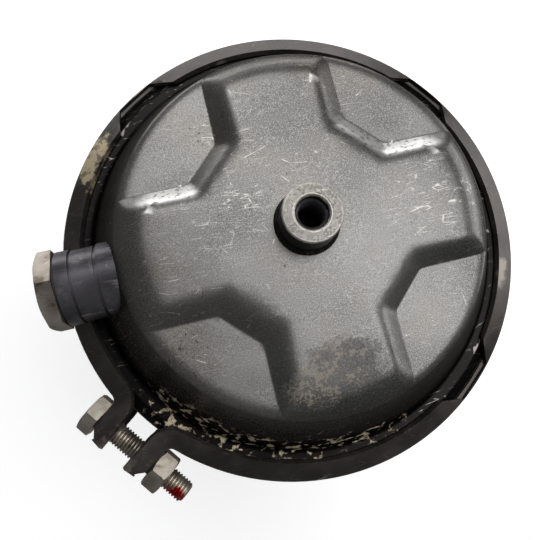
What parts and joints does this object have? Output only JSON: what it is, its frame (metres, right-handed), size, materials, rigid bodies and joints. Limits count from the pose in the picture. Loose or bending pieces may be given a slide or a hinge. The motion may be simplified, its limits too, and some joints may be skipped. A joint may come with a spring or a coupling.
{
  "type": "air brake chamber",
  "caption": "Round single-diaphragm air brake actuator: pressed cover with recessed pads, clamp band, ports, mounting studs, sprung push rod and clevis.",
  "frame": {"origin": "centre of the flat mounting face, on the chamber's axis", "axes": "+Z along the chamber's axis towards the pressure cover; the push rod works along -Z; the side port points along -X"},
  "size_m": [0.2166, 0.209, 0.2583],
  "materials": {
    "cover_paint": "satin dark grey paint",
    "housing_paint": "satin dark grey paint",
    "band_paint": "satin black paint",
    "boss_steel": "machined face",
    "port_black": "black oxide",
    "plug_steel": "worn zinc",
    "bolt_zinc": "worn zinc",
    "stud_zinc": "zinc",
    "plate_steel": "plain",
    "rod_steel": "smooth",
    "spring_steel": "black",
    "clevis_steel": "zinc",
    "seal_rubber": "matte",
    "diaphragm_rubber": "matte",
    "black_plastic": "matte"
  },
  "bodies": {
    "housing": {"pressure_cover": "cover_paint", "centre_port_boss": "boss_steel", "side_port_boss": "port_black", "side_port_plug": "plug_steel", "plug_seal_ring": "seal_rubber", "clamp_band": "band_paint", "clamp_bolt": "bolt_zinc", "clamp_nut": "bolt_zinc", "mounting_housing": "housing_paint", "stud_plate": "plate_steel", "mounting_studs": "stud_zinc", "rod_guide": "black_plastic", "vent_plugs": "black_plastic", "return_spring": "spring_steel"},
    "diaphragm_centre": {"diaphragm": "diaphragm_rubber"},
    "rod": {"push_plate": "plate_steel", "push_rod": "rod_steel", "clevis_lock_nut": "clevis_steel", "clevis": "clevis_steel"},
    "pin": {"clevis_pin": "clevis_steel", "pin_washer": "clevis_steel", "cotter_pin": "clevis_steel"}
  },
  "joints": [
    {"name": "rod_stroke", "type": "slide", "parent": "housing", "child": "diaphragm_centre", "axis": [0, 0, -1], "range_m": [0, 0.064], "stiffness_N_per_m": 2000, "springref_m": -0.06, "deforming": ["diaphragm", "return_spring"]},
    {"name": "rod_turn", "type": "hinge", "parent": "diaphragm_centre", "child": "rod", "pos_m": [0, 0, 0], "axis": [0, 0, 1], "continuous": true},
    {"name": "pin_turn", "type": "hinge", "parent": "rod", "child": "pin", "pos_m": [0, 0, -0.08], "axis": [0, 1, 0], "continuous": true}
  ]
}
